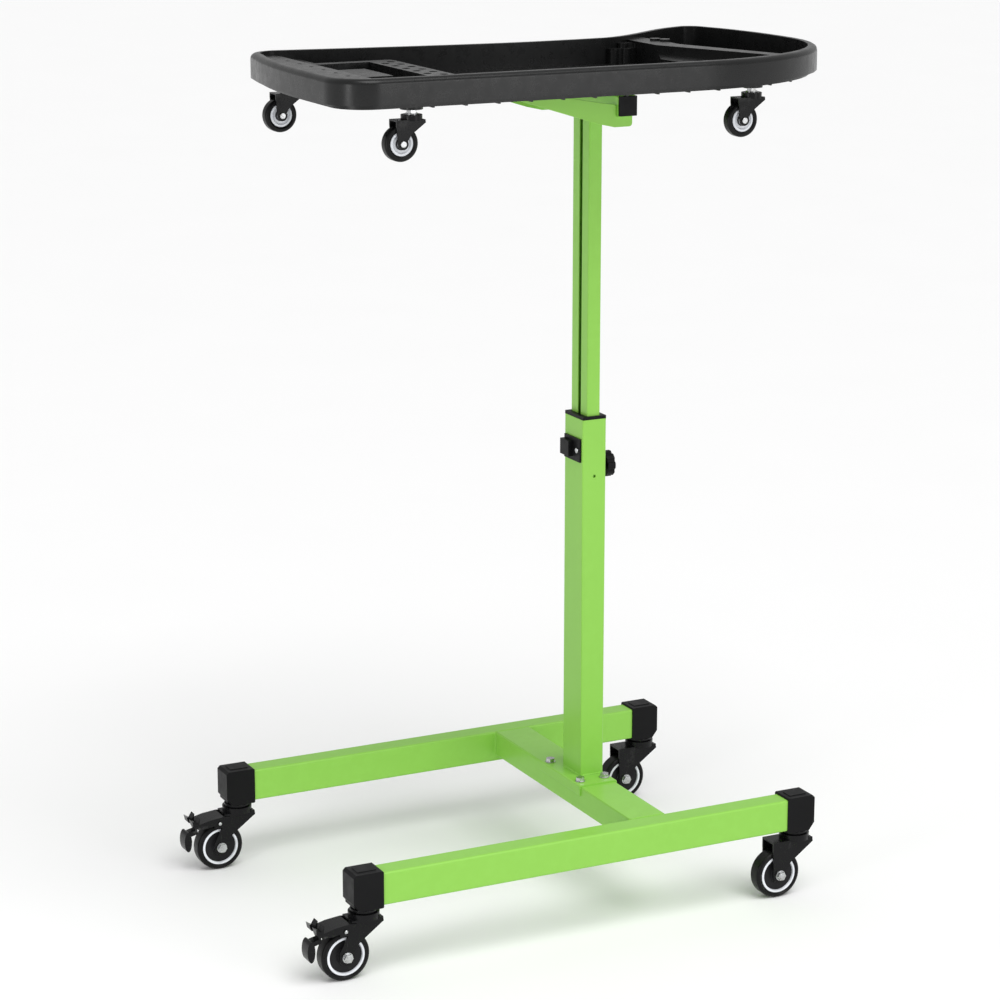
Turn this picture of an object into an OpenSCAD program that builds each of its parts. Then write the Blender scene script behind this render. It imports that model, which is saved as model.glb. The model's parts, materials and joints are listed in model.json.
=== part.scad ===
// Height-adjustable rolling instrument cart: a moulded tray with casters of
// its own stands on a telescopic mast over an H-shaped base on four casters.
// +X runs along the legs, +Z is up, and the floor is z = 0.

/* [Base] */
// Length of each leg, end cap to end cap
leg_length = 767; // [700:1:820]
// Height of the leg tube
leg_h = 50; // [44:1:56]
// Width of the leg tube
leg_w = 36; // [30:1:40]
// Overall width over both leg tubes
base_w = 525; // [460:5:600]
// Height of the underside of the legs above the floor
leg_clear = 107; // [105:1:112]
// Length of the moulded cap on each leg end
cap_l = 47; // [42:1:54]
// Wall of the leg end cap
cap_wall = 3; // [2:0.5:4]
// Width of the cross tube along the legs
cross_w = 60; // [50:1:70]
// Height of the cross tube
cross_h = 40; // [30:1:44]
// Wall of the base tubes
tube_wall = 2; // [1.5:0.5:2.5]

/* [Mast] */
// Outer mast section along X
mast_x = 40; // [40:1:44]
// Outer mast section along Y
mast_y = 60; // [60:1:64]
// Wall of the outer mast
mast_wall = 2.5; // [2:0.5:2.5]
// Top of the outer mast above the floor
mast_top = 724; // [700:1:760]
// Inner mast section along X
inner_x = 22; // [20:1:24]
// Inner mast section along Y
inner_y = 52; // [48:1:52]
// Width of the slot in the inner mast
slot_w = 10; // [8:1:14]
// Length of inner mast held inside the outer mast at full height
engaged = 120; // [100:5:160]
// Centre height of the clamp knob
knob_z = 646; // [630:1:660]
// Radius of the clamp knob
knob_r = 20; // [17:1:24]

/* [Head] */
// Underside of the cross arm above the floor
arm_z = 1191; // [1150:1:1200]
// Side of the square cross arm
arm_s = 30; // [28:1:32]
// Half length of the cross arm
arm_half = 120; // [118:1:140]
// Distance from the mast to the bracket bolt
bolt_reach = 170; // [140:1:200]
// Rail ends, left and right of the mast
rail_left = 247; // [220:1:260]
rail_right = 109; // [90:1:115]
// Height and width of the rail angle
rail_h = 15; // [12:1:18]
rail_w = 30; // [25:1:40]

/* [Tray] */
// Overall length of the tray
tray_l = 862; // [840:2:880]
// Overall depth of the tray
tray_d = 484; // [470:2:500]
// Datum of the tray's outline from the mast, along X
tray_off = -85; // [-95:1:-75]
// Height of the tray's rim above its underside
tray_h = 42; // [38:1:46]
// Wall of the tray moulding
tray_t = 3; // [2.5:0.5:4]
// Width of the tray's rolled rim
rim_w = 14; // [12:1:18]

/* [Casters] */
// Radius of a base caster wheel
base_r = 37.5; // [36:0.5:38]
// Tread width of a base caster wheel
base_wheel_w = 24; // [20:1:25]
// Distance from a base caster's swivel axis to its axle
base_trail = 33; // [28:1:36]
// Radius of a tray caster wheel
small_r = 25; // [22:0.5:26]
// Tread width of a tray caster wheel
small_wheel_w = 18; // [15:1:19]
// Distance from a tray caster's swivel axis to its axle
small_trail = 18; // [15:1:20]

/* [Hidden] */
$fn = 48;
eps = 0.1;
run = 0.05;        // radial clearance of a running fit
gap = 0.3;         // gap between faces that slide or rest on each other

green = [0.60, 0.87, 0.36];
black = [0.10, 0.10, 0.10];
steel = [0.78, 0.79, 0.80];
white = [0.90, 0.91, 0.93];

// The mast stands at X = 0 while the parts are laid out, and the whole cart
// is then shifted so that its bounding box is centred on the origin.
pedal_tip = 92;    // reach of a brake pedal beyond its swivel axis
leg_x0 = -507;     // left end of the legs, caps included
leg_x1 = leg_x0 + leg_length;
stem_in = 23.5;    // swivel axis in from the end of the leg
tube_in = 11;      // end of the leg tube in from the end of its cap
stem_left = leg_x0 + stem_in;
stem_right = leg_x1 - stem_in;
tray_left = 417;   // left end of the tray from its datum
tray_right = tray_l - tray_left;
shift_x = -(stem_left - pedal_tip + tray_off + tray_right) / 2;

leg_y = base_w / 2 - leg_w / 2;
leg_top = leg_clear + leg_h;
cross_x0 = -cross_w / 2 - 10;      // the mast stands 10 mm off the tube's centre
cross_c = cross_x0 + cross_w / 2;
foot_t = 2.5;
foot_top = leg_top + foot_t;
foot_l = 140;
foot_flange = 14;
bolt_dx = 21;
bolt_dy = 50;
guide_z = 676;
guide_w = 50;
guide_h = 36;
key_w = slot_w - 2 * gap;
collar_t = 5;
collar_plug = 30;
inner_bottom = mast_top - engaged;

arm_top = arm_z + arm_s;
rail_y = arm_half - 8;             // outer face of each rail
rail_top = arm_top + rail_h;
bracket_t = 4;
bracket_bolt_z = arm_top + rail_h / 2;

tray_z = rail_top + gap;           // underside of the tray's floor
rim_z = tray_z + tray_h;
skirt_z = rim_z - 36;              // lower edge of the skirt
rib_z = tray_z - 1.8;
boss_z = tray_z - 5;

// [name, x, y, has brake] of each base caster
BASE = [
  ["fl", stem_left, -leg_y, true],
  ["rl", stem_left, leg_y, true],
  ["fr", stem_right, -leg_y, false],
  ["rr", stem_right, leg_y, false]
];
// [name, x, y] of each tray caster
SMALL = [
  ["fl", -382, -205],
  ["rl", -409, 158],
  ["fr", 169, -185],
  ["rr", 130, 127]
];

module place() translate([shift_x, 0, 0]) children();

// ---------------------------------------------------------------- helpers
// Upright box given by its centre in X and Y, and its lowest and highest z
module block(cx, cy, sx, sy, z0, z1)
  translate([cx - sx / 2, cy - sy / 2, z0]) cube([sx, sy, z1 - z0]);

// Cylinder along Y from y0 to y1
module rod_y(x, z, r, y0, y1, sides = 48)
  translate([x, y0, z]) rotate([-90, 0, 0]) cylinder(r = r, h = y1 - y0, $fn = sides);

// Cylinder along X from x0 to x1
module rod_x(y, z, r, x0, x1, sides = 48)
  translate([x0, y, z]) rotate([0, 90, 0]) cylinder(r = r, h = x1 - x0, $fn = sides);

// Upright cylinder from z0 to z1
module rod_z(x, y, r, z0, z1, sides = 48)
  translate([x, y, z0]) cylinder(r = r, h = z1 - z0, $fn = sides);

// Plate in the XZ plane with the given outline, from y0 to y1
module side_plate(points, y0, y1)
  translate([0, y1, 0]) rotate([90, 0, 0]) linear_extrude(y1 - y0) polygon(points);

function arc(cx, cy, rx, ry, a0, a1, n) =
  [for (i = [0:n]) let (a = a0 + (a1 - a0) * i / n) [cx + rx * cos(a), cy + ry * sin(a)]];

// ------------------------------------------------------------------- base
module leg(y) {
  color(green) place() difference() {
    block((leg_x0 + leg_x1) / 2, y, leg_length - 2 * tube_in, leg_w, leg_clear, leg_top);
    block((leg_x0 + leg_x1) / 2, y, leg_length, leg_w - 2 * tube_wall,
      leg_clear + tube_wall, leg_top - tube_wall);
    for (x = [stem_left, stem_right]) rod_z(x, y, 7, leg_clear - 1, leg_clear + tube_wall + 1);
  }
}
module leg_front() leg(-leg_y);
module leg_rear() leg(leg_y);

module cross_tube() {
  wall = base_w / 2 - leg_w;
  color(green) place() difference() {
    block(cross_c, 0, cross_w, 2 * wall, leg_top - cross_h, leg_top);
    block(cross_c, 0, cross_w - 2 * tube_wall, 2 * wall + 1,
      leg_top - cross_h + tube_wall, leg_top - tube_wall);
    for (sx = [-1, 1], sy = [-1, 1])
      rod_z(cross_c + sx * bolt_dx, sy * bolt_dy, 4.2, leg_top - tube_wall - 1, leg_top + 1);
  }
}

// Cap outline in the XZ plane, with its lower outer corner cut off
function cap_profile() = let (z0 = leg_clear - cap_wall, z1 = leg_top + cap_wall) [
  [0, z0 + 12], [9, z0], [cap_l - 1.5, z0], [cap_l, z0 + 1.5],
  [cap_l, z1 - 1.5], [cap_l - 1.5, z1], [4, z1], [0, z1 - 4]
];

// side is -1 for a left end and 1 for a right end
module leg_cap(end_x, y, side) {
  sleeve_y = leg_w / 2 + cap_wall - 1;
  translate([end_x, y, 0]) mirror([side > 0 ? 1 : 0, 0, 0]) difference() {
    union() {
      difference() {
        side_plate(cap_profile(), -sleeve_y, sleeve_y);
        translate([tube_in, -leg_w / 2, leg_clear]) cube([cap_l, leg_w, leg_h]);
      }
      // Spigot inside the tube, which holds the caster's stem
      translate([cap_wall - 1, -leg_w / 2 + tube_wall, leg_clear + tube_wall])
        cube([cap_l - 4, leg_w - 2 * tube_wall, leg_h - 2 * tube_wall]);
      // Raised pad on top
      translate([10, -leg_w / 2 + 8, leg_top + cap_wall - eps]) cube([cap_l - 18, leg_w - 16, 1.2]);
    }
    rod_z(stem_in, 0, 5 + run, leg_clear - cap_wall - 1, leg_clear + 38);
  }
}

module leg_end_caps() {
  color(black) place() for (y = [-leg_y, leg_y]) {
    leg_cap(leg_x0, y, -1);
    leg_cap(leg_x1, y, 1);
  }
}

// Saddle that bolts the mast down over the cross tube
module foot_plate() {
  color(green) place() difference() {
    block(cross_c, 0, cross_w + 2 * foot_t, foot_l, leg_top - foot_flange, foot_top);
    block(cross_c, 0, cross_w, foot_l + 1, leg_top - foot_flange - 1, leg_top);
    for (sx = [-1, 1], sy = [-1, 1])
      rod_z(cross_c + sx * bolt_dx, sy * bolt_dy, 4.2, leg_top - 1, foot_top + 1);
  }
}

module foot_bolts() {
  color(steel) place() for (sx = [-1, 1], sy = [-1, 1]) {
    translate([cross_c + sx * bolt_dx, sy * bolt_dy, 0]) {
      rod_z(0, 0, 4, leg_top - 12, foot_top + 1);
      rod_z(0, 0, 8, foot_top, foot_top + 1.5);
      rod_z(0, 0, 7.2, foot_top + 1.4, foot_top + 6.5, 6);
      rod_z(0, 0, 7.2, leg_top - tube_wall - 6, leg_top - tube_wall, 6);
    }
  }
}

module outer_mast() {
  color(green) place() difference() {
    block(0, 0, mast_x, mast_y, foot_top, mast_top);
    block(0, 0, mast_x - 2 * mast_wall, mast_y - 2 * mast_wall, foot_top - 1, mast_top + 1);
    rod_y(0, knob_z - 10, 2.5, -mast_y / 2 - 1, -mast_y / 2 + mast_wall + 1);
    rod_x(0, knob_z, 8, mast_x / 2 - mast_wall - 1, mast_x / 2 + 1);
    // Window for the guide's key, and the guide's screw hole
    block(-mast_x / 2, 0, 2 * mast_wall + 2, 18, guide_z - 16, guide_z + 16);
    rod_x(-18, guide_z, 2.2, -mast_x / 2 - 1, -mast_x / 2 + mast_wall + 1);
  }
}

// Bush in the mouth of the outer mast, in which the inner mast slides
module mast_collar() {
  hole_x = inner_x + 2 * gap;
  hole_y = inner_y + 2 * gap;
  color(black) place() difference() {
    union() {
      block(0, 0, mast_x - 1, mast_y - 1, mast_top, mast_top + collar_t);
      block(0, 0, mast_x - 2 * mast_wall, mast_y - 2 * mast_wall, mast_top - collar_plug, mast_top + eps);
      block(15.4, 0, 8, 14, mast_top, mast_top + 11);
    }
    block(0, 0, hole_x, hole_y, mast_top - collar_plug - 1, mast_top + 12);
    rod_z(15.6, 0, 1.6, mast_top - 8, mast_top + 12);
  }
}
module collar_screw() {
  color(steel) place() {
    rod_z(15.6, 0, 1.55, mast_top - 7, mast_top + 11.5);
    rod_z(15.6, 0, 3.1, mast_top + 11, mast_top + 13.2);
  }
}

// Guide on the mast's left face. Its key runs in the inner mast's slot.
module guide_plate() {
  face = -mast_x / 2;
  color(black) place() difference() {
    union() {
      block(face - 1.5, 0, 3, guide_w, guide_z - guide_h / 2, guide_z + guide_h / 2);
      block(face - 6, 11, 9, 27, guide_z - 12, guide_z + 12);
      block(face + 4.35, 0, 8.7, 17, guide_z - 15, guide_z + 15);
      block(face + 5.5, 0, 11, key_w, guide_z - 15, guide_z + 15);
    }
    rod_x(-18, guide_z, 2.2, face - 4, face + 1);
  }
}
module guide_screw() {
  color(steel) place() {
    rod_x(-18, guide_z, 2.1, -mast_x / 2 - 3.5, -mast_x / 2 + 5);
    rod_x(-18, guide_z, 4, -mast_x / 2 - 5.4, -mast_x / 2 - 3);
  }
}
module mast_screws() {
  collar_screw();
  guide_screw();
}

// Threaded bush in the mast's right face, in which the clamp screw turns
module clamp_nut() {
  color(steel) place() difference() {
    union() {
      rod_x(0, knob_z, 8, mast_x / 2 - mast_wall - 2, mast_x / 2 + 2);
      rod_x(0, knob_z, 10, mast_x / 2, mast_x / 2 + 2.5);
    }
    rod_x(0, knob_z, 4 + run, mast_x / 2 - 10, mast_x / 2 + 5);
  }
}

// Fixed upper half of each base caster's swivel, with its stem and kingpin
module caster_stems() {
  cap_bottom = leg_clear - cap_wall;
  color(black) place() for (c = BASE) translate([c[1], c[2], 0]) {
    rod_z(0, 0, 20, cap_bottom - 5, cap_bottom);
    rod_z(0, 0, 5, cap_bottom - 19, leg_clear + 36);
    rod_z(0, 0, 9, cap_bottom - 20.5, cap_bottom - 17);
  }
}

// -------------------------------------------------------------------- head
module inner_mast() {
  wall = 2;
  color(green) place() difference() {
    block(0, 0, inner_x, inner_y, inner_bottom, arm_z);
    block(0, 0, inner_x - 2 * wall, inner_y - 2 * wall, inner_bottom - 1, arm_z + 1);
    block(-inner_x / 2, 0, 3 * wall, slot_w, inner_bottom - 1, arm_z + 1);
  }
}

module cross_arm() {
  wall = 2;
  color(green) place() difference() {
    block(0, 0, arm_s, 2 * arm_half, arm_z, arm_top);
    block(0, 0, arm_s - 2 * wall, 2 * arm_half + 1, arm_z + wall, arm_top - wall);
  }
}

module arm_plugs() {
  mid = arm_z + arm_s / 2;
  color(black) place() for (s = [-1, 1]) {
    block(0, s * (arm_half + 2), arm_s - 1, 4, mid - arm_s / 2 + 0.5, mid + arm_s / 2 - 0.5);
    block(0, s * (arm_half - 8), arm_s - 4.2, 16.2, mid - arm_s / 2 + 2.1, mid + arm_s / 2 - 2.1);
  }
}

// Bracket outline: an eye round the bolt, widening to a foot that wraps the
// left face and the underside of the cross arm
function bracket_profile() = concat(
  arc(-bolt_reach, bracket_bolt_z, 9, rail_h / 2 - gap, 80, 256, 12),
  [[-44, arm_z - 9.5], [-18, arm_z - 15.5]],
  arc(6, arm_z - 10.5, 5, 5, -90, 0, 5),
  [[11, arm_z], [-arm_s / 2, arm_z], [-arm_s / 2, arm_z + 15], [-18, arm_z + 17.5],
   [-42, arm_z + 21]]
);

module bracket(side) {
  y0 = side < 0 ? -rail_y - bracket_t : rail_y;
  color(green) place() difference() {
    side_plate(bracket_profile(), y0, y0 + bracket_t);
    rod_y(-bolt_reach, bracket_bolt_z, 3.2, y0 - 1, y0 + bracket_t + 1);
  }
}
module bracket_front() bracket(-1);
module bracket_rear() bracket(1);

// Angle rail that the tray's floor lies on
module rail(side) {
  t = 2.5;
  length = rail_left + rail_right;
  cx = (rail_right - rail_left) / 2;
  color(green) place() difference() {
    union() {
      block(cx, side * (rail_y - t / 2), length, t, arm_top, rail_top);
      block(cx, side * (rail_y - rail_w / 2), length, rail_w, rail_top - t, rail_top);
    }
    rod_y(-bolt_reach, bracket_bolt_z, 3.2, -rail_y - 1, rail_y + 1);
  }
}
module rail_front() rail(-1);
module rail_rear() rail(1);

module bracket_bolts() {
  inner = rail_y - 2.5;
  outer = rail_y + bracket_t;
  color(steel) place() for (s = [0, 1]) mirror([0, s, 0]) {
    rod_y(-bolt_reach, bracket_bolt_z, 3, inner - 7, outer + 1);
    rod_y(-bolt_reach, bracket_bolt_z, 6, outer, outer + 3.6);
    rod_y(-bolt_reach, bracket_bolt_z, 4.8, inner - 5, inner, 6);
  }
}

// -------------------------------------------------------------------- knob
module knob() {
  x0 = mast_x / 2 + 4.5;
  color(black) place() difference() {
    union() {
      rod_x(0, knob_z, 9, x0, x0 + 6);
      rod_x(0, knob_z, knob_r, x0 + 5, x0 + 18);
    }
    for (i = [0:7]) rotate_about_knob(22.5 + i * 45)
      rod_x(knob_r + 2, knob_z, 4, x0 + 4, x0 + 19, 32);
    rod_x(0, knob_z, 4 + run, x0 - 1, x0 + 12.5);
  }
}
module rotate_about_knob(a)
  translate([0, 0, knob_z]) rotate([a, 0, 0]) translate([0, 0, -knob_z]) children();

module knob_stud() {
  color(steel) place() rod_x(0, knob_z, 4, inner_x / 2 + gap, mast_x / 2 + 16.5);
}

// -------------------------------------------------------------------- tray
// Outline of the tray about its datum. The front is straight, the back has a
// waist, and the right end is bowed and swept back at the front.
hy = tray_d / 2;
waist_y = 127.5;
function shoulder(t) = waist_y + 2.5 + 111 * (1 - cos(180 * t)) / 2;
function waist(x) = waist_y + 50 * pow(max(0, 37 - x) / 370, 1.35)
  + 2.5 * pow(max(0, x - 37) / 118, 2);
function tray_outline() = concat(
  arc(-tray_left + 60, -hy + 60, 60, 60, 180, 270, 7),
  arc(145, 0, tray_right - 145, hy, -90, 0, 12),
  arc(tray_right - 90, 0, 90, 270, 8, 50, 5),
  arc(tray_right - 70, hy - 37, 37, 37, 18, 95, 6),
  [for (i = [0:9]) let (t = 0.85 * (1 - i / 10)) [155 + 235 * t, shoulder(t)]],
  [for (i = [0:11]) let (x = 125 - 40 * i) [x, waist(x)]],
  arc(-tray_left + 70, 134, 45, 45, 88, 172, 6),
  arc(-tray_left + 70, -100, 70, 305, 132, 178, 6)
);

function unit(v) = v / norm(v);
// The same outline moved inwards by d
function inset(p, d) = let (n = len(p)) [
  for (i = [0:n - 1])
    let (
      a = unit(p[i] - p[(i + n - 1) % n]),
      b = unit(p[(i + 1) % n] - p[i]),
      m = unit([-(a[1] + b[1]), a[0] + b[0]])
    )
    p[i] + m * d / max(0.5, (-a[1] * m[0] + a[0] * m[1]))
];

module prism(d, z0, z1)
  translate([tray_off, 0, z0]) linear_extrude(z1 - z0) polygon(inset(tray_outline(), d));

// Box in the tray's own X, cut to the inside of the rim
module tray_box(x0, x1, y0, y1, z0, z1)
  translate([tray_off + x0, y0, z0]) cube([x1 - x0, y1 - y0, z1 - z0]);

ledge_x = -346;    // inner edge of the wide ledge at the left end
ledge_z = rim_z - 6;
strip_x = -196;    // right side of the block with the compartments
strip_z = rim_z - 12;
shelf_z = rim_z - 17;
block_y = 84;      // back of that block
floor_z = tray_z + tray_t;
well_z = floor_z + 4;
tool_r = 3.2;
tool_x = -360;
tool_y0 = -136;
tool_pitch = 43;
well_r = 6;
well_y0 = -142;
well_pitch = 36;

// Divider between the main basin and the right-hand one, seen from above
function divider_outline() = concat(
  [[224, hy], [224, 44], [300, -140], [322, -hy]],
  arc(360, -hy + 34, 30, 34, -90, 130, 8),
  [[262, 40], [262, hy]]
);
// Low step in the corner between the divider and the front
function step_outline() = [[226, 40], [196, -20], [232, -hy], [324, -hy], [302, -138]];
// Steps by the waist, each with two upright flutes: [x, y, depth below the rim]
FLUTES = [[188, 112, 16], [207, 108, 16], [209, 121, 9], [230, 114, 9], [258, 108, 3], [266, 92, 3]];

module column(points, top)
  translate([tray_off, 0, floor_z - 1]) linear_extrude(top - floor_z + 1) polygon(points);

// Everything cut from above: the basins, leaving the raised parts standing
module tray_basins() {
  difference() {
    prism(rim_w, floor_z, rim_z + 1);
    tray_box(-tray_left, ledge_x, -hy, hy, floor_z - 1, ledge_z);
    tray_box(ledge_x - 1, strip_x, -hy, block_y, floor_z - 1, strip_z);
    tray_box(-331, -316, block_y - 1, hy, floor_z - 1, strip_z);
    column(divider_outline(), rim_z - 6);
    column(step_outline(), rim_z - 20);
    column([[176, hy], [180, 112], [207, 104], [232, 108], [232, hy]], rim_z - 16);
    column([[201, hy], [203, 121], [232, 110], [240, hy]], rim_z - 9);
    for (f = FLUTES) rod_z(tray_off + f[0], f[1], 8, floor_z - 1, rim_z - f[2], 24);
  }
}

// Compartments, socket wells and tool holes in the left-hand block and ledge
module tray_pockets() {
  tray_box(ledge_x + 1, -329, -190, -30, floor_z, rim_z);
  tray_box(ledge_x + 1, -331, 62, 100, floor_z, rim_z);
  difference() {
    tray_box(-322, -238, -188, 66, floor_z, rim_z);
    tray_box(-323, -262, -70, 30, floor_z - 1, shelf_z);
  }
  for (i = [0:5]) {
    rod_z(tray_off - 226, well_y0 + i * well_pitch, well_r, well_z, rim_z, 24);
    rod_z(tray_off - 209, well_y0 + (i + 0.5) * well_pitch, well_r, well_z, rim_z, 24);
    rod_z(tray_off + tool_x, tool_y0 + i * tool_pitch, tool_r, tray_z - 1, rim_z, 24);
  }
}

module tray() {
  color(black) place() difference() {
    union() {
      // Skirt and rolled rim
      difference() {
        prism(0, skirt_z, rim_z);
        prism(tray_t, skirt_z - 1, rim_z - tray_t);
        prism(rim_w - 1, skirt_z - 1, rim_z + 1);
      }
      // Pan
      difference() {
        prism(rim_w - tray_t, tray_z, rim_z);
        tray_basins();
      }
      tray_ribs();
      for (c = SMALL) rod_z(c[1], c[2], 16, boss_z, floor_z);
      // Blocks that keep the tray from sliding along the rails
      for (s = [-1, 1]) {
        block(-rail_left - 46, s * (rail_y - 15), 88, 20, tray_z - 12, tray_z + 1);
        block(rail_right + 6, s * (rail_y - 15), 8, 20, tray_z - 12, tray_z + 1);
      }
    }
    tray_pockets();
    // Hollow under the ledge, open below
    tray_box(-382, -352, -160, 100, tray_z - 1, ledge_z - tray_t);
    for (c = SMALL) rod_z(c[1], c[2], 4 + run, boss_z - 1, floor_z + 1);
  }
}

// Ribs across the underside, outside the rails
module tray_ribs() {
  for (i = [-6:6]) {
    intersection() {
      union() {
        block(i * 50 - 60, -180, tray_t, 108, rib_z, tray_z + 1);
        block(i * 50 - 60, 180, tray_t, 108, rib_z, tray_z + 1);
      }
      prism(rim_w - tray_t + 1, rib_z - 1, tray_z + 2);
    }
  }
}

// Fixed upper half of each tray caster's swivel, with its nut and kingpin
module tray_stems() {
  color(steel) place() for (c = SMALL) translate([c[1], c[2], 0]) {
    rod_z(0, 0, 4, boss_z - 17, floor_z - 0.5);
    rod_z(0, 0, 7.5, boss_z - 5.5, boss_z, 6);
    rod_z(0, 0, 9, boss_z - 6.9, boss_z - 5.4);
    rod_z(0, 0, 6.5, boss_z - 18, boss_z - 15.5);
  }
}

// ----------------------------------------------------------------- casters
// Outline of one fork leg in the XZ plane, about the swivel axis.
// r: wheel radius, tr: trail, top: crown height, a: radius round the axle
function fork_leg(r, tr, top, a, back) = concat(
  [[back, top], [0.62 * r, top], [0.64 * r, top - 0.18 * r], [-tr + 0.5 * r, 1.5 * r]],
  arc(-tr, r, a, a, 30, -180, 12),
  [[-tr - a, 1.2 * r], [back, top - 0.3 * r]]
);

module base_fork(i) {
  brake = BASE[i][3];
  half = base_wheel_w / 2 + 2;
  t = 2.5;
  crown = leg_clear - cap_wall - 15.5;
  back = brake ? -26 : -46;
  color(black) place() translate([BASE[i][1], BASE[i][2], 0]) difference() {
    union() {
      for (s = [0, 1]) mirror([0, s, 0])
        side_plate(fork_leg(base_r, base_trail, crown + t, 12, back), half, half + t);
      block(back / 2, 0, -back, 2 * half + 1, crown, crown + t);
      block(11.5, 0, 23, 2 * half + 1, crown, crown + t);
      rod_z(0, 0, 23, crown, crown + 10.2);
      if (brake) for (s = [0, 1]) mirror([0, s, 0])
        side_plate([[-44, 70], [-20, 70], [-20, 87], [-44, 82]], half, half + t);
    }
    rod_z(0, 0, 5 + run, crown - 1, crown + 12);
    rod_y(-base_trail, base_r, 4, -half - t - 1, half + t + 1);
    if (brake) rod_y(pedal_x, pedal_z, 2.5, -half - t - 1, half + t + 1);
  }
}

module base_axle(i) {
  half = base_wheel_w / 2 + 4.5;
  color(steel) place() translate([BASE[i][1] - base_trail, BASE[i][2], 0]) {
    rod_y(0, base_r, 4, -half - 6.5, half + 6.5);
    for (s = [0, 1]) mirror([0, s, 0]) {
      rod_y(0, base_r, 8, half, half + 1.4);
      rod_y(0, base_r, 7, half + 1.3, half + 6, 6);
    }
  }
}

// Wheel shape turned about Y: points are [radius, y]
module turned(x, z, points)
  translate([x, 0, z]) rotate([-90, 0, 0]) rotate_extrude($fn = 96) polygon(points);

function tyre_profile(r_in, r, w) = let (h = w / 2, c = 5) concat(
  [[r_in, -h + 1.5], [r_in + 3, -h]],
  arc(r - c, -h + c, c, c, -90, -10, 5),
  arc(r - c, h - c, c, c, 10, 90, 5),
  [[r_in + 3, h], [r_in, h - 1.5]]
);

function hub_profile(bore, rim, w) = let (h = w / 2) [
  [bore, -h - 1], [bore + 4, -h - 1], [bore + 5, -h + 3], [rim - 5, -h + 3], [rim - 3, -h + 0.5],
  [rim, -h + 1.5], [rim, h - 1.5], [rim - 3, h - 0.5], [rim - 5, h - 3], [bore + 5, h - 3],
  [bore + 4, h + 1], [bore, h + 1]
];

module base_hub(i)
  color(black) place() translate([0, BASE[i][2], 0])
    turned(BASE[i][1] - base_trail, base_r, hub_profile(4 + run, 30, base_wheel_w));

module base_tyre(i)
  color(black) place() translate([0, BASE[i][2], 0])
    turned(BASE[i][1] - base_trail, base_r, tyre_profile(30, base_r, base_wheel_w));

// Brake pedal: a channel beside the fork, hinged on a pin above the wheel
pedal_x = -36;
pedal_z = 78.4;
pedal_half = base_wheel_w / 2 + 4.5 + gap;
shoe_gap = 3.9;
module pedal_channel(i) {
  ear = pedal_half + 2;
  color(black) place() translate([BASE[i][1], BASE[i][2], 0]) {
    for (s = [0, 1]) mirror([0, s, 0]) {
      side_plate([[-77, 80], [-72, 73.5], [-56, 73.5], [-42, 76], [-24, 79.5], [-18, 87], [-29, 88.4],
        [-52, 86]], pedal_half, ear);
      rod_y(pedal_x, pedal_z, 3.1, ear - 0.5, ear + 1.8);
    }
    side_plate([[-77, 80], [-76, 78], [-52, 84], [-29, 86.4], [-29, 88.4], [-52, 86]], -ear, ear);
    // Upturned prongs at the end of the pedal
    for (s = [-1, 1]) translate([0, s * 12, 0])
      side_plate([[-78, 78], [-70, 80], [-69, 92], [-74, 84], [-82, 89], [-80, 80]], -ear + 12, ear - 12);
    rod_y(pedal_x, pedal_z, 2.5 - run, -ear - 1, ear + 1);
  }
}

// Shoe below the pedal, which is pressed towards the tyre
module brake_shoe(i) {
  shoe_r = base_r + shoe_gap;
  color(black) place() translate([BASE[i][1], BASE[i][2], 0])
    side_plate(concat(arc(-base_trail, base_r, shoe_r, shoe_r, 116, 132, 4), [[-63, 81.2], [-50, 84.15]]),
      -8, 8);
}

// Release lever, which hangs below the end of the pedal
module brake_lever(i) {
  color(black) place() translate([BASE[i][1], BASE[i][2], 0]) {
    side_plate([[-73, 78.7], [-70, 76], [-69, 63], [-84, 59], [-86, 66], [-72.5, 69], [-76, 77.9]], -8, 8);
    side_plate(arc(6 - pedal_tip, 52.5, 6, 16, 0, 345, 23), -11, 11);
  }
}
module brake_pedal(i) {
  pedal_channel(i);
  brake_lever(i);
}

small_axle_z = boss_z - 46;
module tray_fork(i) {
  half = small_wheel_w / 2 + 1.5;
  t = 1.8;
  crown = boss_z - 15.2;
  lift = small_axle_z - small_r;
  color(black) place() translate([SMALL[i][1], SMALL[i][2], 0]) difference() {
    union() {
      for (s = [0, 1]) mirror([0, s, 0]) translate([0, 0, lift])
        side_plate(fork_leg(small_r, small_trail, crown + t - lift, 8, -28), half, half + t);
      block(-14, 0, 28, 2 * half + 1, crown, crown + t);
      block(7.5, 0, 15, 2 * half + 1, crown, crown + t);
      rod_z(0, 0, 15, crown, crown + 8);
    }
    rod_z(0, 0, 4 + run, crown - 1, crown + 10);
    rod_y(-small_trail, small_axle_z, 3, -half - t - 1, half + t + 1);
  }
}

module tray_axle(i) {
  half = small_wheel_w / 2 + 3.3;
  color(steel) place() translate([SMALL[i][1] - small_trail, SMALL[i][2], 0]) {
    rod_y(0, small_axle_z, 3, -half - 1, half + 1);
    for (s = [0, 1]) mirror([0, s, 0]) rod_y(0, small_axle_z, 4.5, half, half + 2.2);
  }
}

module tray_hub(i)
  color(white) place() translate([0, SMALL[i][2], 0])
    turned(SMALL[i][1] - small_trail, small_axle_z, hub_profile(3 + run, 17, small_wheel_w - 1));

module tray_tyre(i)
  color(black) place() translate([0, SMALL[i][2], 0])
    turned(SMALL[i][1] - small_trail, small_axle_z, tyre_profile(17, small_r, small_wheel_w));

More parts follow.
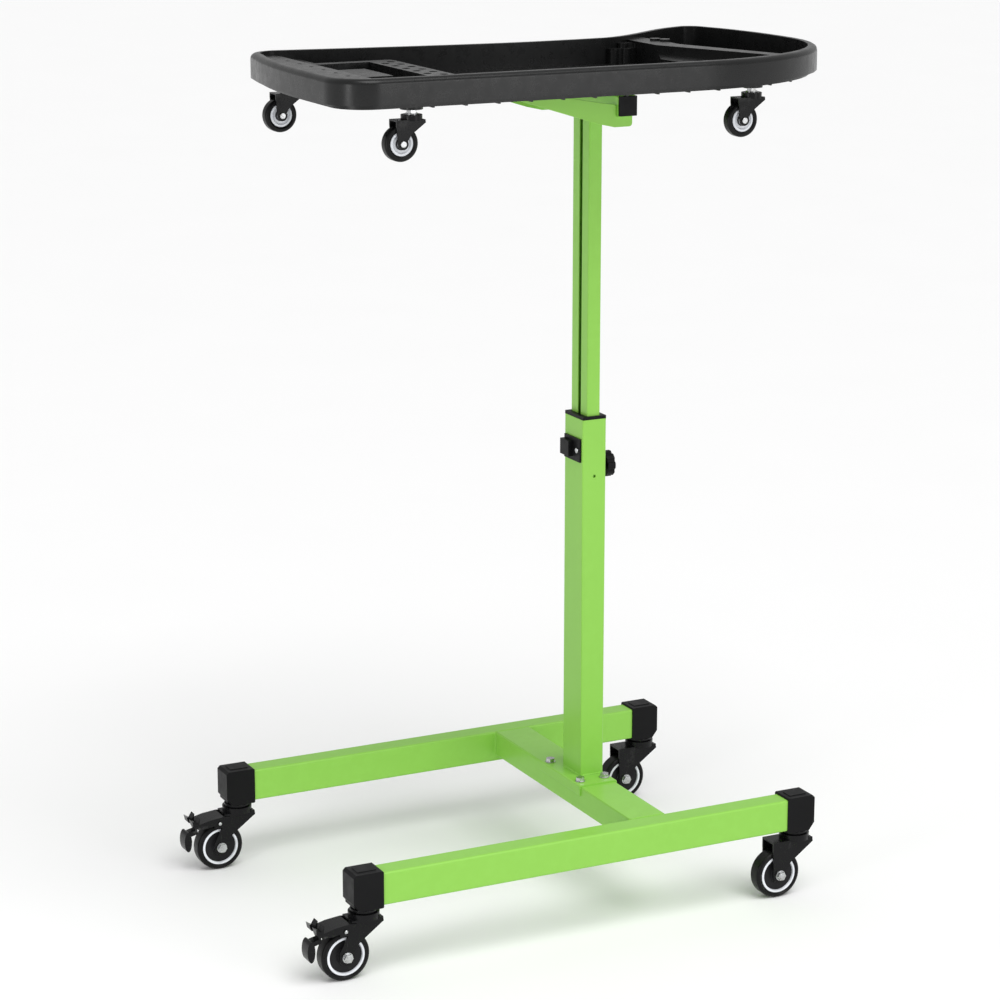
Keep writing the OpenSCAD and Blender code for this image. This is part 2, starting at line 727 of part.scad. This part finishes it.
leg_front();
leg_rear();
cross_tube();
leg_end_caps();
foot_plate();
foot_bolts();
outer_mast();
mast_collar();
guide_plate();
mast_screws();
clamp_nut();
caster_stems();
inner_mast();
cross_arm();
arm_plugs();
bracket_front();
bracket_rear();
rail_front();
rail_rear();
bracket_bolts();
knob();
knob_stud();
tray();
tray_stems();
base_fork(0);  // fork_fl
base_fork(1);  // fork_rl
base_fork(2);  // fork_fr
base_fork(3);  // fork_rr
base_axle(0);  // axle_fl
base_axle(1);  // axle_rl
base_axle(2);  // axle_fr
base_axle(3);  // axle_rr
base_hub(0);  // hub_fl
base_hub(1);  // hub_rl
base_hub(2);  // hub_fr
base_hub(3);  // hub_rr
base_tyre(0);  // tyre_fl
base_tyre(1);  // tyre_rl
base_tyre(2);  // tyre_fr
base_tyre(3);  // tyre_rr
brake_pedal(0);  // brake_pedal_fl
brake_pedal(1);  // brake_pedal_rl
brake_shoe(0);  // brake_shoe_fl
brake_shoe(1);  // brake_shoe_rl
tray_fork(0);  // tray_fork_fl
tray_fork(1);  // tray_fork_rl
tray_fork(2);  // tray_fork_fr
tray_fork(3);  // tray_fork_rr
tray_axle(0);  // tray_axle_fl
tray_axle(1);  // tray_axle_rl
tray_axle(2);  // tray_axle_fr
tray_axle(3);  // tray_axle_rr
tray_hub(0);  // tray_hub_fl
tray_hub(1);  // tray_hub_rl
tray_hub(2);  // tray_hub_fr
tray_hub(3);  // tray_hub_rr
tray_tyre(0);  // tray_tyre_fl
tray_tyre(1);  // tray_tyre_rl
tray_tyre(2);  // tray_tyre_fr
tray_tyre(3);  // tray_tyre_rr
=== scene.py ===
import json
import math

import bmesh
import bpy
from mathutils import Matrix, Vector


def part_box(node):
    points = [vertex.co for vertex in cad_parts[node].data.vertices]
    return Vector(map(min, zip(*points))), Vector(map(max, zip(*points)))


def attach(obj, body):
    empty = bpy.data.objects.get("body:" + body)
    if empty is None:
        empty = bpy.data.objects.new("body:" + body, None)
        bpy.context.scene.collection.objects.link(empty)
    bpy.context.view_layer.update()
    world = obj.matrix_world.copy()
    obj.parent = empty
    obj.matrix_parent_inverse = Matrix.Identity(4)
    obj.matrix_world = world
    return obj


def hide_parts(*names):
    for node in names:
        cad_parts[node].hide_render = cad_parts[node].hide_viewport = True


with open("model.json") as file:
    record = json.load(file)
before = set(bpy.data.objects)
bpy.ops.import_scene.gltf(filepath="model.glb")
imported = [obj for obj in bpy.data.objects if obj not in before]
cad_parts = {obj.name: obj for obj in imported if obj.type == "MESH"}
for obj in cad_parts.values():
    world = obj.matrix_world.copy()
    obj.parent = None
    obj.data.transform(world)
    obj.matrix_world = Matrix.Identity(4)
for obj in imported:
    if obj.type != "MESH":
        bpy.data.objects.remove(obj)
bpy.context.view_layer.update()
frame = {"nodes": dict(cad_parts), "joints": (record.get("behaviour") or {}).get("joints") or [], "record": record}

# Lengths below are in millimetres. X is measured from the mast's axis, Y from
# the cart's long axis, and Z from the floor.
MM = 0.001
MAST_LO, MAST_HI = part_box("outer_mast")
MAST_X = (MAST_LO.x + MAST_HI.x) / 2 / MM
CORNERS = ("fl", "rl", "fr", "rr")


def place(x, y, z):
    """A point of the cart as a vector in metres, in the frame's own axes."""
    return Vector(((x + MAST_X) * MM, y * MM, z * MM))


def box_mm(node):
    """Lowest and highest corner of a CAD node, in millimetres from the mast."""
    lo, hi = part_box(node)
    return (
        Vector((lo.x / MM - MAST_X, lo.y / MM, lo.z / MM)),
        Vector((hi.x / MM - MAST_X, hi.y / MM, hi.z / MM)),
    )


def joint_at(name):
    """Where a joint's axis passes, in millimetres from the mast."""
    joint = next(j for j in frame["joints"] if j["name"] == name)
    x, y, z = joint["pos_m"]
    return Vector((x / MM - MAST_X, y / MM, z / MM))


# ---------------------------------------------------------------- materials
def shader(name, colour, roughness, metallic=0.0, specular=0.3):
    """A new material with one Principled shader. Returns material, tree, shader."""
    mat = bpy.data.materials.new(name)
    mat.use_nodes = True
    tree = mat.node_tree
    bsdf = tree.nodes["Principled BSDF"]
    bsdf.inputs["Base Color"].default_value = (*colour, 1)
    bsdf.inputs["Roughness"].default_value = roughness
    bsdf.inputs["Metallic"].default_value = metallic
    bsdf.inputs["Specular IOR Level"].default_value = specular
    return mat, tree, bsdf


def add_noise(tree, scale, detail=2.0, stretch=(1, 1, 1)):
    """Noise in the object's own coordinates. The scale is cells per metre."""
    coords = tree.nodes.new("ShaderNodeTexCoord")
    mapping = tree.nodes.new("ShaderNodeMapping")
    mapping.inputs["Scale"].default_value = stretch
    noise = tree.nodes.new("ShaderNodeTexNoise")
    noise.inputs["Scale"].default_value = scale
    noise.inputs["Detail"].default_value = detail
    tree.links.new(coords.outputs["Object"], mapping.inputs["Vector"])
    tree.links.new(mapping.outputs["Vector"], noise.inputs["Vector"])
    return noise.outputs["Fac"]


def add_range(tree, value, low, high, from_low=0.3, from_high=0.7):
    """Maps a factor onto low..high."""
    node = tree.nodes.new("ShaderNodeMapRange")
    node.inputs["From Min"].default_value = from_low
    node.inputs["From Max"].default_value = from_high
    node.inputs["To Min"].default_value = low
    node.inputs["To Max"].default_value = high
    tree.links.new(value, node.inputs["Value"])
    return node.outputs["Result"]


def add_mix(tree, factor, first, second):
    """Mixes two colours. Each is a colour or another node's output."""
    node = tree.nodes.new("ShaderNodeMix")
    node.data_type = "RGBA"
    tree.links.new(factor, node.inputs["Factor"])
    for socket, colour in (("A", first), ("B", second)):
        target = next(i for i in node.inputs if i.name == socket and i.type == "RGBA")
        if isinstance(colour, bpy.types.NodeSocket):
            tree.links.new(colour, target)
        else:
            target.default_value = (*colour, 1)
    return next(o for o in node.outputs if o.type == "RGBA")


def add_bump(tree, bsdf, height, depth_mm, strength):
    """Fine relief from a height, which changes the shading only."""
    node = tree.nodes.new("ShaderNodeBump")
    node.inputs["Strength"].default_value = strength
    node.inputs["Distance"].default_value = depth_mm * MM
    tree.links.new(height, node.inputs["Height"])
    tree.links.new(node.outputs["Normal"], bsdf.inputs["Normal"])


def edge_wear(tree, start, end, scale):
    """1 on sharp outer edges, broken up by noise, and 0 elsewhere."""
    geometry = tree.nodes.new("ShaderNodeNewGeometry")
    edge = add_range(tree, geometry.outputs["Pointiness"], 0, 1, start, end)
    patch = add_range(tree, add_noise(tree, scale, 4), 0, 1, 0.45, 0.62)
    both = tree.nodes.new("ShaderNodeMath")
    both.operation = "MULTIPLY"
    tree.links.new(edge, both.inputs[0])
    tree.links.new(patch, both.inputs[1])
    return both.outputs[0]


def powder_coat(name, colour):
    """Glossy powder paint: slight orange peel, faint mottling, rubbed edges."""
    mat, tree, bsdf = shader(name, colour, 0.35)
    darker = tuple(c * 0.985 for c in colour)
    lighter = tuple(c * 1.01 for c in colour)
    rubbed = tuple(min(1, c * 1.02 + 0.004) for c in colour)
    tint = add_mix(tree, add_range(tree, add_noise(tree, 9, 2), 0, 1), darker, lighter)
    worn = add_mix(tree, edge_wear(tree, 0.53, 0.60, 60), tint, rubbed)
    tree.links.new(worn, bsdf.inputs["Base Color"])
    rough = add_range(tree, add_noise(tree, 90, 3), 0.33, 0.38)
    tree.links.new(rough, bsdf.inputs["Roughness"])
    bsdf.inputs["Coat Weight"].default_value = 0.08
    bsdf.inputs["Coat Roughness"].default_value = 0.12
    add_bump(tree, bsdf, add_noise(tree, 500, 1), 0.04, 0.12)
    return mat


def moulded_plastic(name, colour, rough_low, rough_high, grain, grain_mm, strength, gloss):
    """Moulded plastic with uneven gloss and scuffed edges. Its grain has that
    many cells per metre and that depth."""
    mat, tree, bsdf = shader(name, colour, rough_low, specular=gloss)
    darker = tuple(c * 0.85 for c in colour)
    lighter = tuple(c * 1.2 for c in colour)
    scuffed = tuple(c * 1.35 + 0.004 for c in colour)
    cloudy = add_mix(tree, add_range(tree, add_noise(tree, 9, 4), 0, 1), darker, lighter)
    worn = add_mix(tree, edge_wear(tree, 0.53, 0.62, 80), cloudy, scuffed)
    tree.links.new(worn, bsdf.inputs["Base Color"])
    rough = add_range(tree, add_noise(tree, 70, 4), rough_low, rough_high)
    tree.links.new(rough, bsdf.inputs["Roughness"])
    add_bump(tree, bsdf, add_noise(tree, grain, 2), grain_mm, strength)
    return mat


def white_plastic(name):
    """White moulding of a tray wheel's hub and of a base wheel's ring."""
    return moulded_plastic(name, (0.72, 0.74, 0.78), 0.28, 0.42, 900, 0.03, 0.25, 0.4)


def rubber(name):
    """Tyre rubber: dark and fairly glossy, with dust and fine scratches."""
    mat, tree, bsdf = shader(name, (0.005, 0.005, 0.0055), 0.3, specular=0.16)
    dust = add_range(tree, add_noise(tree, 45, 5), 0, 1, 0.5, 0.75)
    colour = add_mix(tree, dust, (0.005, 0.005, 0.0054), (0.011, 0.0108, 0.0104))
    tree.links.new(colour, bsdf.inputs["Base Color"])
    tree.links.new(add_range(tree, add_noise(tree, 120, 4), 0.24, 0.42), bsdf.inputs["Roughness"])
    add_bump(tree, bsdf, add_noise(tree, 1500, 2), 0.04, 0.3)
    return mat


def zinc_steel(name):
    """Bright zinc plate: fine brushing, a little tarnish."""
    mat, tree, bsdf = shader(name, (0.52, 0.53, 0.54), 0.26, 1.0, 0.5)
    tarnish = add_range(tree, add_noise(tree, 160, 4), 0, 1, 0.42, 0.7)
    colour = add_mix(tree, tarnish, (0.56, 0.57, 0.58), (0.38, 0.38, 0.37))
    tree.links.new(colour, bsdf.inputs["Base Color"])
    tree.links.new(add_range(tree, add_noise(tree, 260, 3), 0.18, 0.36), bsdf.inputs["Roughness"])
    add_bump(tree, bsdf, add_noise(tree, 1200, 2, (1, 1, 6)), 0.02, 0.25)
    return mat


def black_metal(name):
    """Satin black coated steel, with grey worn through at the edges."""
    mat, tree, bsdf = shader(name, (0.0045, 0.0045, 0.005), 0.24, specular=0.18)
    worn = add_mix(tree, edge_wear(tree, 0.55, 0.66, 120), (0.0045, 0.0045, 0.005), (0.04, 0.04, 0.04))
    tree.links.new(worn, bsdf.inputs["Base Color"])
    tree.links.new(add_range(tree, add_noise(tree, 140, 3), 0.18, 0.32), bsdf.inputs["Roughness"])
    add_bump(tree, bsdf, add_noise(tree, 1100, 2), 0.05, 0.3)
    return mat


GREEN = (0.262, 0.58, 0.078)
MATERIALS = {
    "green_base": powder_coat("green_base_paint", GREEN),
    "green_head": powder_coat("green_head_paint", GREEN),
    "black_plastic": moulded_plastic("black_moulding", (0.005, 0.005, 0.0055), 0.36, 0.48, 1300, 0.06, 0.4,
                                     0.12),
    "tray_plastic": moulded_plastic("tray_moulding", (0.008, 0.0082, 0.0083), 0.24, 0.34, 700, 0.1, 0.4, 0.3),
    "tyre": rubber("tyre_rubber"),
    "white_hub": white_plastic("white_moulding"),
    "base_hub": white_plastic("hub_moulding"),
    "black_metal": black_metal("black_coated_steel"),
    "zinc_steel": zinc_steel("zinc_plate"),
}
HUB_BLACK = moulded_plastic("hub_black_moulding", (0.012, 0.012, 0.013), 0.3, 0.45, 900, 0.04, 0.3, 0.15)
NODE_SLOT = {s["node"]: s["material_slot"] for s in frame["record"]["subparts"]}
NODE_BODY = {
    node: body
    for body, nodes in frame["record"]["behaviour"]["bodies"].items()
    for node in nodes
}


# --------------------------------------------------------------- mesh tools
SMOOTH_ANGLE = math.radians(32)    # faces that meet at less are shaded as one
FLAT_ANGLE = math.radians(0.6)     # faces that meet at less become one face
JOIN_MM = 0.01                     # points nearer than this become one point
LEVEL_MM = 0.1                     # points within this of a height lie at it
OUTER_MM = 0.2                     # points within this of a box lie on it
TUBE_SEGMENTS = 5                  # faces across a tube's rounded corner


def is_sharp(edge):
    return len(edge.link_faces) == 2 and edge.calc_face_angle(0) > SMOOTH_ANGLE


def sharp_edges(bm):
    return [e for e in bm.edges if is_sharp(e)]


def round_edges(bm, edges, width_mm, segments):
    """Rounds edges to a width in millimetres, on a mesh in metres."""
    if edges:
        bmesh.ops.bevel(bm, geom=edges, offset=width_mm * MM, offset_type="OFFSET", affect="EDGES",
                        segments=segments, profile=0.5, clamp_overlap=True)


def show(name, bm, body, slot, replaced=(), material=None):
    """Turns a mesh into a smooth-shaded piece that rides on a body."""
    bmesh.ops.recalc_face_normals(bm, faces=bm.faces[:])
    for face in bm.faces:
        face.smooth = True
    for edge in bm.edges:
        edge.smooth = not is_sharp(edge)
    mesh = bpy.data.meshes.new(name)
    bm.to_mesh(mesh)
    bm.free()
    piece = bpy.data.objects.new(name, mesh)
    bpy.context.scene.collection.objects.link(piece)
    mesh.materials.append(material or MATERIALS[slot])
    normals = piece.modifiers.new("face normals", "WEIGHTED_NORMAL")
    normals.keep_sharp = True
    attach(piece, body)
    if replaced:
        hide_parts(*replaced)
    return piece


def cad_copy(node):
    """A CAD node's mesh, with its flat faces whole again."""
    bm = bmesh.new()
    bm.from_mesh(frame["nodes"][node].data)
    bmesh.ops.remove_doubles(bm, verts=bm.verts[:], dist=JOIN_MM * MM)
    bmesh.ops.dissolve_limit(bm, angle_limit=FLAT_ANGLE, verts=bm.verts[:], edges=bm.edges[:])
    return bm


def refine(node, width_mm, segments, big_edges=None, big_mm=0.0, material=None):
    """A copy of a CAD node with its edges rounded, which stands for the node.
    big_edges picks the edges that get the bigger radius first."""
    bm = cad_copy(node)
    if big_edges:
        round_edges(bm, [e for e in sharp_edges(bm) if big_edges(e)], big_mm, TUBE_SEGMENTS)
    round_edges(bm, sharp_edges(bm), width_mm, segments)
    return show(node + "_shape", bm, NODE_BODY[node], NODE_SLOT[node], (node,), material)


def along(axis, node):
    """Picks a box's outer edges along one axis, such as a tube's corners."""
    lo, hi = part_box(node)
    slack = OUTER_MM * MM
    others = [i for i in range(3) if i != axis]

    def pick(edge):
        a, b = (v.co for v in edge.verts)
        return all(
            abs(a[i] - b[i]) < slack and min(abs(a[i] - lo[i]), abs(a[i] - hi[i])) < slack
            for i in others
        )

    return pick


def loops_at(bm, z_mm):
    """Closed loops of sharp edges at one height, the widest loop first."""
    z, slack = z_mm * MM, LEVEL_MM * MM
    level = [e for e in sharp_edges(bm) if all(abs(v.co.z - z) < slack for v in e.verts)]
    by_vert = {}
    for edge in level:
        for vert in edge.verts:
            by_vert.setdefault(vert, []).append(edge)
    loops, seen = [], set()
    for edge in level:
        if edge in seen:
            continue
        loop, todo = [], [edge]
        seen.add(edge)
        while todo:
            current = todo.pop()
            loop.append(current)
            for vert in current.verts:
                for other in by_vert[vert]:
                    if other not in seen:
                        seen.add(other)
                        todo.append(other)
        loops.append(loop)

    def width(loop):
        xs = [v.co.x for e in loop for v in e.verts]
        return max(xs) - min(xs)

    return sorted(loops, key=width, reverse=True)


def middle_of(node):
    lo, hi = box_mm(node)
    return (lo + hi) / 2


def lathe(name, profile, centre, body, slot, material=None, steps=72):
    """A ring turned about an axis along Y. The profile is closed, and its
    points are (radius, y from the centre) in millimetres."""
    bm = bmesh.new()
    rings = []
    for i in range(steps):
        a = 2 * math.pi * i / steps
        rings.append([
            bm.verts.new(place(centre.x + r * math.cos(a), centre.y + y, centre.z + r * math.sin(a)))
            for r, y in profile
        ])
    count = len(profile)
    for i, ring in enumerate(rings):
        after = rings[(i + 1) % steps]
        for j in range(count):
            k = (j + 1) % count
            bm.faces.new((ring[j], ring[k], after[k], after[j]))
    return show(name, bm, body, slot, material=material)


def weld(name, runs, radius, body, slot):
    """Rippled weld beads along straight runs between two points each."""
    bm = bmesh.new()
    sides = 8
    ring_pitch = 1.1
    for start, end in runs:
        start, end = Vector(start), Vector(end)
        way = (end - start).normalized()
        across = way.orthogonal().normalized()
        up = way.cross(across)
        steps = max(6, int((end - start).length / ring_pitch))
        rings = []
        for i in range(steps + 1):
            t = i / steps
            swell = radius * (0.86 + 0.14 * math.sin(2.3 * i) + 0.05 * math.sin(0.7 * i))
            # A run tapers to a third of its radius at both ends
            swell *= min(1.0, 0.35 + 6 * min(t, 1 - t))
            middle = start.lerp(end, t)
            ring = []
            for k in range(sides):
                a = 2 * math.pi * k / sides
                point = middle + (across * math.cos(a) + up * math.sin(a)) * swell
                ring.append(bm.verts.new(place(*point)))
            rings.append(ring)
        for first, second in zip(rings, rings[1:]):
            for k in range(sides):
                m = (k + 1) % sides
                bm.faces.new((first[k], first[m], second[m], second[k]))
        bm.faces.new(rings[0])
        bm.faces.new(list(reversed(rings[-1])))
    return show(name, bm, body, slot)


# -------------------------------------------------------------------- frame
refine("leg_front", 0.3, 1, along(0, "leg_front"), 3.5)
refine("leg_rear", 0.3, 1, along(0, "leg_rear"), 3.5)
refine("cross_tube", 0.3, 1, along(1, "cross_tube"), 3.5)
refine("outer_mast", 0.35, 1, along(2, "outer_mast"), 3.0)
refine("inner_mast", 0.3, 1, along(2, "inner_mast"), 2.5)
refine("cross_arm", 0.35, 1, along(1, "cross_arm"), 2.5)
refine("foot_plate", 0.5, 2, along(1, "foot_plate"), 2.5)
refine("leg_end_caps", 2.4, 4)
refine("foot_bolts", 0.35, 2)
refine("mast_collar", 0.6, 2)
refine("guide_plate", 0.9, 2)
refine("mast_screws", 0.5, 2)
refine("clamp_nut", 0.3, 2)
refine("caster_stems", 1.2, 3, material=MATERIALS["black_metal"])
refine("arm_plugs", 1.2, 3)
for side in ("front", "rear"):
    refine("bracket_" + side, 0.6, 2)
    refine("rail_" + side, 0.3, 2, along(0, "rail_" + side), 1.5)
refine("bracket_bolts", 0.9, 2)
refine("knob", 1.4, 3)
refine("knob_stud", 0.4, 2)
refine("tray_stems", 0.4, 2)
for corner in CORNERS:
    for kind in ("fork_", "tray_fork_"):
        refine(kind + corner, 0.7, 2)
    for kind in ("axle_", "tray_axle_"):
        refine(kind + corner, 0.9, 3)
    for kind in ("tray_hub_", "tyre_", "tray_tyre_"):
        refine(kind + corner, 0.3, 2)
    refine("hub_" + corner, 0.3, 2, material=HUB_BLACK)
for corner in ("fl", "rl"):
    refine("brake_pedal_" + corner, 0.7, 2)
    refine("brake_shoe_" + corner, 1.0, 2)


# --------------------------------------------------------------------- tray
def tray_shape():
    """The tray with a rolled rim: its outer edge is rounded more than the rest."""
    bm = cad_copy("tray")
    rim_z = box_mm("tray")[1].z
    outer = loops_at(bm, rim_z)[0]
    round_edges(bm, outer, 8.0, 6)
    inner = loops_at(bm, rim_z)[-1]
    round_edges(bm, inner, 4.5, 5)
    round_edges(bm, sharp_edges(bm), 0.8, 2)
    show("tray_shape", bm, NODE_BODY["tray"], NODE_SLOT["tray"], ("tray",))


tray_shape()


# -------------------------------------------------------------------- wheels
# Closed profiles as (radius, y from the wheel's middle): the white ring and the
# black boss on each side of a base wheel, and the black cup in a tray wheel
RING = [(25.0, 8.6), (25.4, 11.2), (25.9, 11.8), (28.5, 11.8), (29.1, 11.2), (29.4, 8.6)]
BOSS = [(8.4, 8.6), (9.2, 12.2), (10.2, 12.7), (12.6, 12.2), (13.8, 8.6)]
CUP = [(3.6, 5.0), (3.6, 8.2), (4.6, 9.0), (6.6, 8.9), (8.4, 7.6), (8.8, 5.0)]
for corner in CORNERS:
    for side, sign in (("front", -1), ("rear", 1)):
        lathe("ring_%s_%s" % (corner, side), [(r, sign * y) for r, y in RING],
              middle_of("hub_" + corner), NODE_BODY["hub_" + corner], "base_hub")
        lathe("boss_%s_%s" % (corner, side), [(r, sign * y) for r, y in BOSS],
              middle_of("hub_" + corner), NODE_BODY["hub_" + corner], "black_plastic", HUB_BLACK)
        lathe("cup_%s_%s" % (corner, side), [(r, sign * y) for r, y in CUP],
              middle_of("tray_hub_" + corner), NODE_BODY["tray_hub_" + corner],
              "black_plastic", HUB_BLACK)

# Bright rivet heads on the brake pedals' pins, as (radius, y from the pedal's middle)
RIVET = [(0.05, 18.0), (2.6, 18.0), (2.7, 20.9), (1.9, 21.6), (0.05, 21.9)]
for corner in ("fl", "rl"):
    pin = joint_at("brake_" + corner)
    pin.y = middle_of("brake_pedal_" + corner).y
    for side, sign in (("front", -1), ("rear", 1)):
        lathe("rivet_%s_%s" % (corner, side), [(r, sign * y) for r, y in RIVET],
              pin, NODE_BODY["brake_pedal_" + corner], "zinc_steel", steps=24)


# --------------------------------------------------------------------- welds
# Each bead lies in an inner corner: tube to leg, mast to foot plate, arm to mast
CROSS_LO, CROSS_HI = box_mm("cross_tube")
FOOT_TOP = box_mm("outer_mast")[0].z
MAST_HALF = (box_mm("outer_mast")[1] - box_mm("outer_mast")[0]) / 2
runs = []
for end in (CROSS_LO.y, CROSS_HI.y):
    runs.append(((CROSS_LO.x + 3, end, CROSS_HI.z - 0.9), (CROSS_HI.x - 3, end, CROSS_HI.z - 0.9)))
    for x in (CROSS_LO.x, CROSS_HI.x):
        runs.append(((x, end, CROSS_LO.z + 2), (x, end, CROSS_HI.z - 3)))
weld("cross_tube_welds", runs, 1.9, "base", "green_base")
mx, my = MAST_HALF.x, MAST_HALF.y
weld("mast_foot_weld", [
    ((-mx + 2, s * my, FOOT_TOP + 0.3), (mx - 2, s * my, FOOT_TOP + 0.3)) for s in (-1, 1)
] + [
    ((s * mx, -my + 2, FOOT_TOP + 0.3), (s * mx, my - 2, FOOT_TOP + 0.3)) for s in (-1, 1)
], 1.9, "base", "green_base")
ARM_LO = box_mm("cross_arm")[0]
INNER = box_mm("inner_mast")[1]
weld("arm_weld", [
    ((-INNER.x + 1, s * INNER.y, ARM_LO.z - 0.3), (INNER.x - 1, s * INNER.y, ARM_LO.z - 0.3))
    for s in (-1, 1)
], 1.7, "mast_head", "green_head")


# ----------------------------------------------------- stage, light, camera
FLOOR_M = 400            # so wide that its edge is as far as the horizon
WORLD_STRENGTH = 0.56


def stage():
    """A white floor and an even white surround."""
    bpy.ops.mesh.primitive_plane_add(size=FLOOR_M)
    floor = bpy.context.object
    floor.name = "floor"
    mat, tree, bsdf = shader("studio_floor", (0.93, 0.93, 0.93), 0.8)
    tree.links.new(add_range(tree, add_noise(tree, 3, 3), 0.7, 0.8), bsdf.inputs["Roughness"])
    floor.data.materials.append(mat)

    world = bpy.data.worlds.new("studio")
    bpy.context.scene.world = world
    world.use_nodes = True
    world.node_tree.nodes["Background"].inputs["Color"].default_value = (1, 1, 1, 1)
    world.node_tree.nodes["Background"].inputs["Strength"].default_value = WORLD_STRENGTH


def soft_light(name, position, target, size, watts):
    """A soft area light of a width and height in metres, aimed at a point."""
    data = bpy.data.lights.new(name, "AREA")
    data.shape = "RECTANGLE"
    data.size, data.size_y = size
    data.energy = watts
    light = bpy.data.objects.new(name, data)
    bpy.context.scene.collection.objects.link(light)
    light.location = position
    light.rotation_euler = (Vector(target) - Vector(position)).to_track_quat("-Z", "Y").to_euler()


def sun_light(strength, azimuth, elevation, softness):
    """A soft sun, which lights the whole floor evenly. Angles are in degrees."""
    data = bpy.data.lights.new("sun", "SUN")
    data.energy = strength
    data.angle = math.radians(softness)
    sun = bpy.data.objects.new("sun", data)
    bpy.context.scene.collection.objects.link(sun)
    a, e = math.radians(azimuth), math.radians(elevation)
    toward = Vector((math.sin(a) * math.cos(e), -math.cos(a) * math.cos(e), math.sin(e)))
    sun.rotation_euler = toward.to_track_quat("Z", "Y").to_euler()


def add_camera():
    """The camera, placed in millimetres from the foot of the mast."""
    azimuth, elevation, roll = (math.radians(a) for a in (-26.52, 14.30, 0.055))
    data = bpy.data.cameras.new("camera")
    data.lens = 109.13
    data.shift_x = -0.0023
    data.shift_y = 0.0007
    data.sensor_width = 36
    data.clip_end = 100
    camera = bpy.data.objects.new("camera", data)
    bpy.context.scene.collection.objects.link(camera)
    camera.matrix_world = (
        Matrix.Translation(place(-2115.2, -3956.5, 1733.9))
        @ Matrix.Rotation(azimuth, 4, "Z")
        @ Matrix.Rotation(math.pi / 2 - elevation, 4, "X")
        @ Matrix.Rotation(roll, 4, "Z")
    )
    bpy.context.scene.camera = camera


stage()
# Lights are placed in metres: a high sun, a strip at the tray's left end, and a
# soft light in front of the mast
sun_light(1.75, 8, 64, 45)
soft_light("strip", (-2.7, -1.3, 0.9), (-0.4, -0.2, 1.0), (0.5, 1.8), 13)
soft_light("front", (1.6, -4.0, 1.6), (0, 0, 1.0), (1.6, 1.6), 26)
add_camera()
bpy.context.scene.view_settings.view_transform = "Standard"
